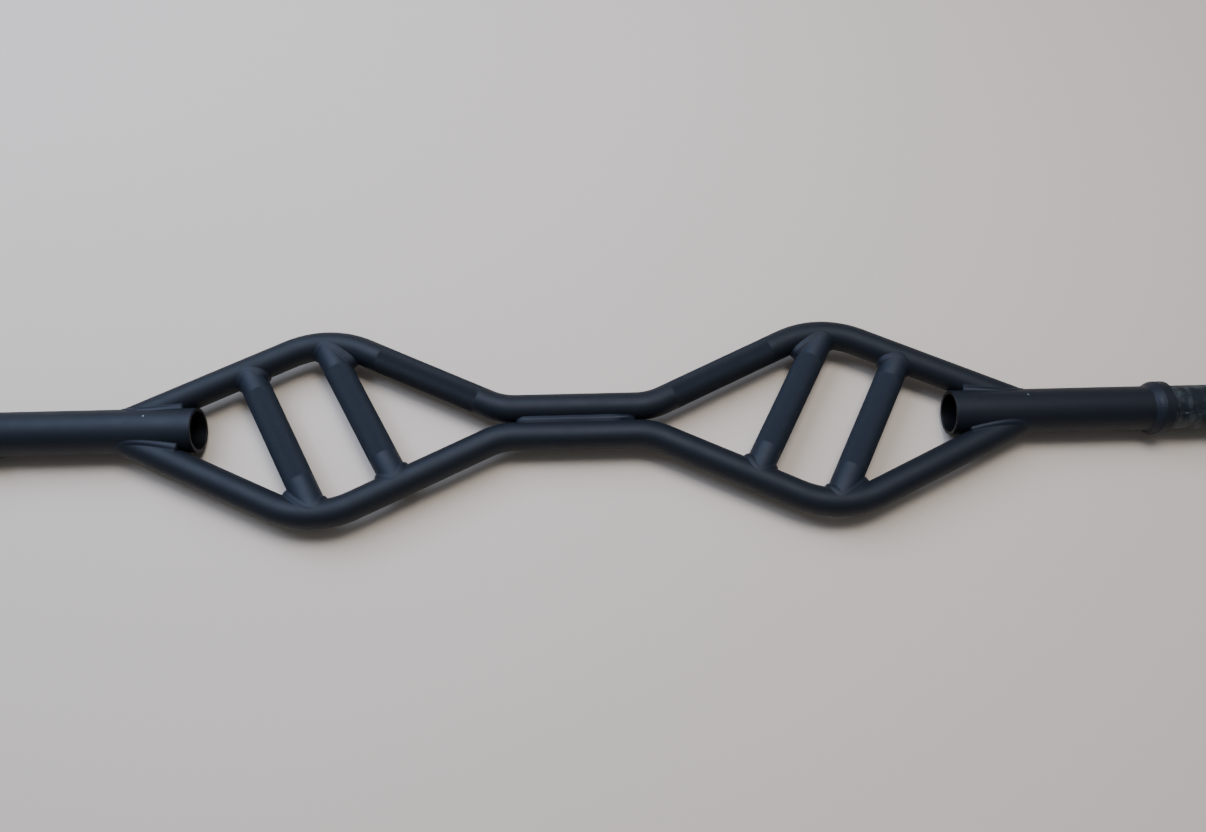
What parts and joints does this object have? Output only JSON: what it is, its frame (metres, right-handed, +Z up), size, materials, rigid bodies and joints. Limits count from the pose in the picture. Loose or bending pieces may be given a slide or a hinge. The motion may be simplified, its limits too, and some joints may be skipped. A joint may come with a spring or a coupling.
{
  "type": "multi-grip weight bar",
  "caption": "Neutral-grip barbell: bent steel rails form diamonds with slanted knurled grips across them, and open-mouthed end tubes carry collars and go on as plate sleeves.",
  "frame": {"origin": "middle of the bar, on the axis of the two end tubes", "axes": "+X along the bar to the right-hand sleeve, +Y in the plane of the grips, from the front rail to the back rail, +Z up out of the plane of the grips"},
  "size_m": [2.1346, 0.2348, 0.06],
  "materials": {
    "powder_coated_rail": "black satin powder coat with a fine orange peel",
    "knurled_grip": "black powder coat over a medium diamond knurl, plain at both ends",
    "powder_coated_sleeve": "black satin powder coat, scuffed where plates slide on",
    "powder_coated_collar": "black satin powder coat, rubbed at the outer edge",
    "coated_weld": "rippled weld bead under black powder coat",
    "moulded_plug": "black moulded polyethylene, fine spark texture"
  },
  "bodies": {
    "root": {"back_rail": "powder_coated_rail", "front_rail": "powder_coated_rail", "left_end_tube": "powder_coated_sleeve", "left_collar": "powder_coated_collar", "left_collar_weld": "coated_weld", "left_end_plug": "moulded_plug", "left_outer_grip": "knurled_grip", "left_outer_grip_back_weld": "coated_weld", "left_outer_grip_front_weld": "coated_weld", "left_inner_grip": "knurled_grip", "left_inner_grip_back_weld": "coated_weld", "left_inner_grip_front_weld": "coated_weld", "left_back_rail_end_weld": "coated_weld", "left_front_rail_end_weld": "coated_weld", "right_end_tube": "powder_coated_sleeve", "right_collar": "powder_coated_collar", "right_collar_weld": "coated_weld", "right_end_plug": "moulded_plug", "right_outer_grip": "knurled_grip", "right_outer_grip_back_weld": "coated_weld", "right_outer_grip_front_weld": "coated_weld", "right_inner_grip": "knurled_grip", "right_inner_grip_back_weld": "coated_weld", "right_inner_grip_front_weld": "coated_weld", "right_back_rail_end_weld": "coated_weld", "right_front_rail_end_weld": "coated_weld", "centre_weld_top": "coated_weld", "centre_weld_bottom": "coated_weld"}
  },
  "joints": []
}
